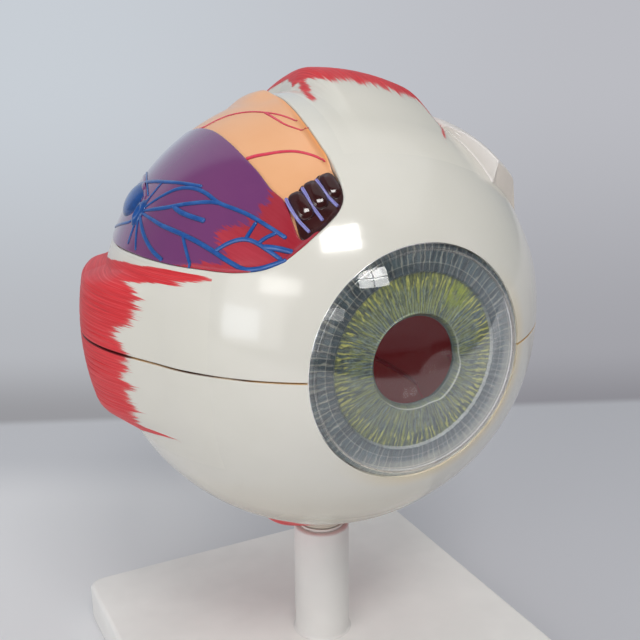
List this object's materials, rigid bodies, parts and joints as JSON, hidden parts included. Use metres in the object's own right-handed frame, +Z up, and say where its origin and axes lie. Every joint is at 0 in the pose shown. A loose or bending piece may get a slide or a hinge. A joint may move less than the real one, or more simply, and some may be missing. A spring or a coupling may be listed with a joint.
{
  "type": "eye anatomy model",
  "caption": "Enlarged eye for teaching on a square stand: opening globe with a window onto its inner layers, cornea, iris, lens and muscles.",
  "frame": {"origin": "centre of the base plate's underside, on the table", "axes": "+Z up along the post, the eye looks along -Y, its temple side is -X"},
  "size_m": [0.1648, 0.1788, 0.2274],
  "materials": {
    "ivory": "glossy off-white",
    "stand_white": "satin pale grey-white",
    "clear": "clear and glossy",
    "iris": "slate and yellow-green radial streaks",
    "choroid": "glossy purple",
    "retina": "peach",
    "ciliary": "glossy dark brown",
    "vein": "glossy blue",
    "muscle": "brushed red",
    "nerve": "yellow",
    "steel": "turned",
    "nylon": "natural nylon"
  },
  "bodies": {
    "stand": {"base_plate": "stand_white", "stand_post": "stand_white", "swivel_pin": "steel", "swivel_washer": "nylon"},
    "globe_lower": {"sclera_lower": "ivory", "swivel_bush": "nylon", "choroid_lower": "choroid", "retina_lower": "retina", "ciliary_body_lower": "ciliary", "inferior_rectus": "muscle", "lateral_rectus_lower": "muscle", "medial_rectus_lower": "muscle", "inferior_oblique": "ivory", "optic_nerve": "nerve", "nerve_sheath_lower": "ivory", "seam_peg_1": "nylon", "seam_peg_2": "nylon", "seam_peg_3": "nylon"},
    "globe_upper": {"sclera_upper": "ivory", "choroid_upper": "choroid", "retina_upper": "retina", "ciliary_body_upper": "ciliary", "ciliary_lobes": "ciliary", "vortex_veins": "vein", "superior_rectus": "muscle", "lateral_rectus_upper": "muscle", "medial_rectus_upper": "muscle", "superior_oblique": "ivory", "nerve_sheath_upper": "ivory"},
    "vitreous": {"vitreous_body": "clear"},
    "lens_group": {"lens": "clear", "zonule": "clear"},
    "iris_disc": {"iris": "iris"},
    "cornea_cap": {"cornea": "clear"}
  },
  "joints": [
    {"name": "globe_swivel", "type": "hinge", "parent": "stand", "child": "globe_lower", "pos_m": [0, 0, 0.061], "axis": [0, 0, 1], "continuous": true},
    {"name": "upper_lift", "type": "slide", "parent": "globe_lower", "child": "globe_upper", "axis": [0, 0, 1], "range_m": [0, 0.15]},
    {"name": "vitreous_lift", "type": "slide", "parent": "globe_lower", "child": "vitreous", "axis": [0, 0, 1], "range_m": [0, 0.075]},
    {"name": "cornea_pull", "type": "slide", "parent": "globe_lower", "child": "cornea_cap", "axis": [0, -1, 0], "range_m": [0, 0.07]},
    {"name": "iris_pull", "type": "slide", "parent": "globe_lower", "child": "iris_disc", "axis": [0, -1, 0], "range_m": [0, 0.0455]},
    {"name": "lens_pull", "type": "slide", "parent": "vitreous", "child": "lens_group", "axis": [0, -1, 0], "range_m": [0, 0.021]}
  ],
  "couplings": [
    {"joint": "vitreous_lift", "follows": "upper_lift", "ratio": 0.5},
    {"joint": "iris_pull", "follows": "cornea_pull", "ratio": 0.65},
    {"joint": "lens_pull", "follows": "cornea_pull", "ratio": 0.3}
  ]
}
